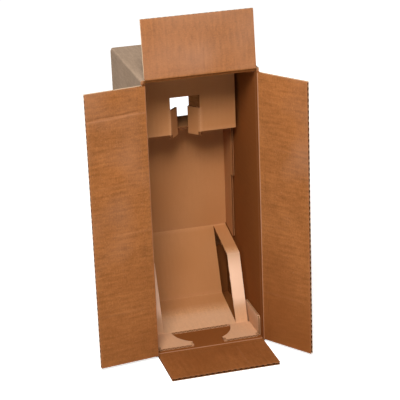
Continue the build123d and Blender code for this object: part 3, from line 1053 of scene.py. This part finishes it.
def cut_edge_paper(name, pitch):
    """A cut edge: two pale liner lines with the wavy paper between them, and painted shade in the hollows."""
    if name in bpy.data.materials:
        return bpy.data.materials[name]
    colours = bpy.context.scene.bottle_box_colours
    material, tree, shader = matt_material(name)
    edge_map = shader_node(tree, "ShaderNodeUVMap", uv_map="edge")
    split = shader_node(tree, "ShaderNodeSeparateXYZ")
    link(tree, edge_map.outputs[0], split.inputs[0])
    across, through = split.outputs[0], split.outputs[1]
    place = shader_node(tree, "ShaderNodeTexCoord").outputs["Object"]
    rough = noise_value(tree, place, 500.0, detail=2.0)
    wave = maths(tree, "SINE", maths(tree, "MULTIPLY", across, 2 * pi / pitch))
    line = maths(tree, "ADD", maths(tree, "MULTIPLY", wave, 0.36), 0.5)
    off = maths(tree, "ABSOLUTE", maths(tree, "SUBTRACT", through, line))
    waved = spread(tree, off, 0.08, 0.2, 1.0, 0.0)
    rim = maths(tree, "ABSOLUTE", maths(tree, "SUBTRACT", through, 0.5))
    liner = spread(tree, rim, 0.34, 0.4)
    ragged = spread(tree, rough, 0.3, 0.6, 0.75, 1.0)
    solid = maths(tree, "MULTIPLY", maths(tree, "MAXIMUM", waved, liner), ragged)
    # The dark tone between the lines is painted shade in the flute hollows
    paper = mixed(tree, "MIX", solid, toned(colours.sheet, 0.42), toned(colours.sheet, 0.95, 0.04))
    # Darker and richer where the fade attribute paints shade, a little paler where it paints light
    fade = spread(tree, attribute_value(tree, "fade"), -1.0, 1.0)
    tint = mixed(tree, "MIX", fade, (0.5, 0.34, 0.24), (1.05, 1.05, 1.05))
    colour = mixed(tree, "MULTIPLY", 1.0, paper, tint)
    link(tree, colour, shader.inputs["Base Color"])
    return material


def map_cut_edges(soft):
    """Gives each cut-edge face a map of place along the edge and share of the thickness."""
    edge_map = soft.loops.layers.uv.new("edge")
    for face in soft.faces:
        if face.material_index != CUT_EDGE:
            continue
        first = None
        high_side = set()
        for edge in face.edges:
            for other in edge.link_faces:
                if other is face or other.material_index == CUT_EDGE:
                    continue
                if first is None:
                    first = other.normal.copy()
                if other.normal.dot(first) > 0:
                    high_side.update(v.index for v in edge.verts)
        along = 0 if abs(face.normal.x) < 0.5 else 1
        for loop in face.loops:
            loop[edge_map].uv = (loop.vert.co[along], 1.0 if loop.vert.index in high_side else 0.0)


def finish_copy(soft, name, materials):
    """Turns the worked mesh into a finished object."""
    soft.verts.index_update()
    map_cut_edges(soft)
    bmesh.ops.triangulate(soft, faces=[f for f in soft.faces if len(f.verts) > 4])
    mesh = bpy.data.meshes.new(name)
    soft.to_mesh(mesh)
    soft.free()
    for material in materials:
        mesh.materials.append(material)
    mesh.update()
    return finished(name, mesh)


class BOX_OT_insert(bpy.types.Operator):
    """The folded insert with its foot, wings, pocket, shelf and face panel"""

    bl_idname = "bottle_box.insert"
    bl_label = "Folded insert"

    def execute(self, context):
        soft = tidy_copy("bottle_insert")
        soften_folds(soft, FOLD_ROUNDING, FOLD_REACH, Vector((1, 0, 0)))
        for axis in range(3):
            slice_all(soft, axis, steps_between(INSERT_LOW[axis], INSERT_HIGH[axis], INSERT_STEP)[1:-1])
        wear = soft.verts.layers.float.new("wear")
        for vert in soft.verts:
            bends = [e.calc_face_angle(0.0) for e in vert.link_edges if len(e.link_faces) == 2]
            folded = max((bend for bend in bends if bend < radians(75)), default=0.0)
            vert[wear] = 0.5 * smooth(folded / radians(40)) if folded > radians(8) else 0.0
        for vert in soft.verts:
            vert.co.y += 0.35 * MM * noise.noise(vert.co * 16)
        # Painted light and shade: the insert is painted darker and richer as shade, its low front part paler
        # as light, palest above the foot; the noise is tone that differs at random
        fade = soft.verts.layers.float.new("fade")
        for vert in soft.verts:
            lit_part = smooth((LIT_TOP - vert.co.z) / 0.02) * smooth((LIT_BACK - vert.co.y) / 0.03)
            raised = 0.6 + 1.2 * smooth((vert.co.z - LIT_MOST_FROM) / 0.02)
            vert[fade] = -0.9 + (0.9 + raised) * lit_part + 0.15 * noise.noise(vert.co * 20)
        board = soft.loops.layers.uv.new("board")
        for face in soft.faces:
            face.material_index = CUT_EDGE if self.is_cut(face) else OUTER
            sideways = abs(face.normal.x) > 0.7
            for loop in face.loops:
                co = loop.vert.co
                loop[board].uv = (co.y, co.z) if sideways else (co.x, co.y + co.z)
        materials = papers("insert_paper", "insert_paper") + [cut_edge_paper("insert_cut_edge", SHEET_PITCH)]
        made = finish_copy(soft, "look_insert", materials)
        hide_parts("bottle_insert")
        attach(made, "carton")
        return {"FINISHED"}

    def is_cut(self, face):
        """A face as narrow as the board is thick, square to its neighbours on both long sides."""
        span = 0.0
        for loop in face.loops:
            for other in face.loops:
                span = max(span, (loop.vert.co - other.vert.co).length)
        width = face.calc_area() / max(span, 1e-9)
        if width > SHEET * 1.05:
            return False
        square = [e for e in face.edges if len(e.link_faces) == 2 and e.calc_face_angle(0.0) > radians(60)]
        return len(square) >= 2 and sum(e.calc_length() for e in square) > 1.2 * max(span, SHEET)


class BOX_PT_bottle_box(bpy.types.Panel):
    """Lists the box's settings and its pieces"""

    bl_idname = "BOX_PT_bottle_box"
    bl_label = "Bottle Box"
    bl_space_type = "VIEW_3D"
    bl_region_type = "UI"
    bl_category = "Bottle Box"

    def draw(self, context):
        scene = context.scene
        for settings in (scene.bottle_box_board, scene.bottle_box_colours, scene.bottle_box_stage):
            box = self.layout.box()
            for name in settings.__annotations__:
                box.prop(settings, name)
        for operator in OPERATORS:
            self.layout.operator(operator.bl_idname)


OPERATORS = (BOX_OT_flaps, BOX_OT_creases, BOX_OT_carton, BOX_OT_insert, BOX_OT_stage)
CLASSES = (BoxBoardSettings, BoxColourSettings, BoxStageSettings) + OPERATORS + (BOX_PT_bottle_box,)


def register():
    for kind in CLASSES:
        bpy.utils.register_class(kind)
    bpy.types.Scene.bottle_box_board = bpy.props.PointerProperty(type=BoxBoardSettings)
    bpy.types.Scene.bottle_box_colours = bpy.props.PointerProperty(type=BoxColourSettings)
    bpy.types.Scene.bottle_box_stage = bpy.props.PointerProperty(type=BoxStageSettings)


def unregister():
    del bpy.types.Scene.bottle_box_stage
    del bpy.types.Scene.bottle_box_colours
    del bpy.types.Scene.bottle_box_board
    for kind in reversed(CLASSES):
        bpy.utils.unregister_class(kind)


def main():
    register()
    bpy.ops.bottle_box.flaps()
    bpy.ops.bottle_box.creases()
    bpy.ops.bottle_box.carton()
    bpy.ops.bottle_box.insert()
    bpy.ops.bottle_box.stage()


if __name__ == "__main__":
    main()
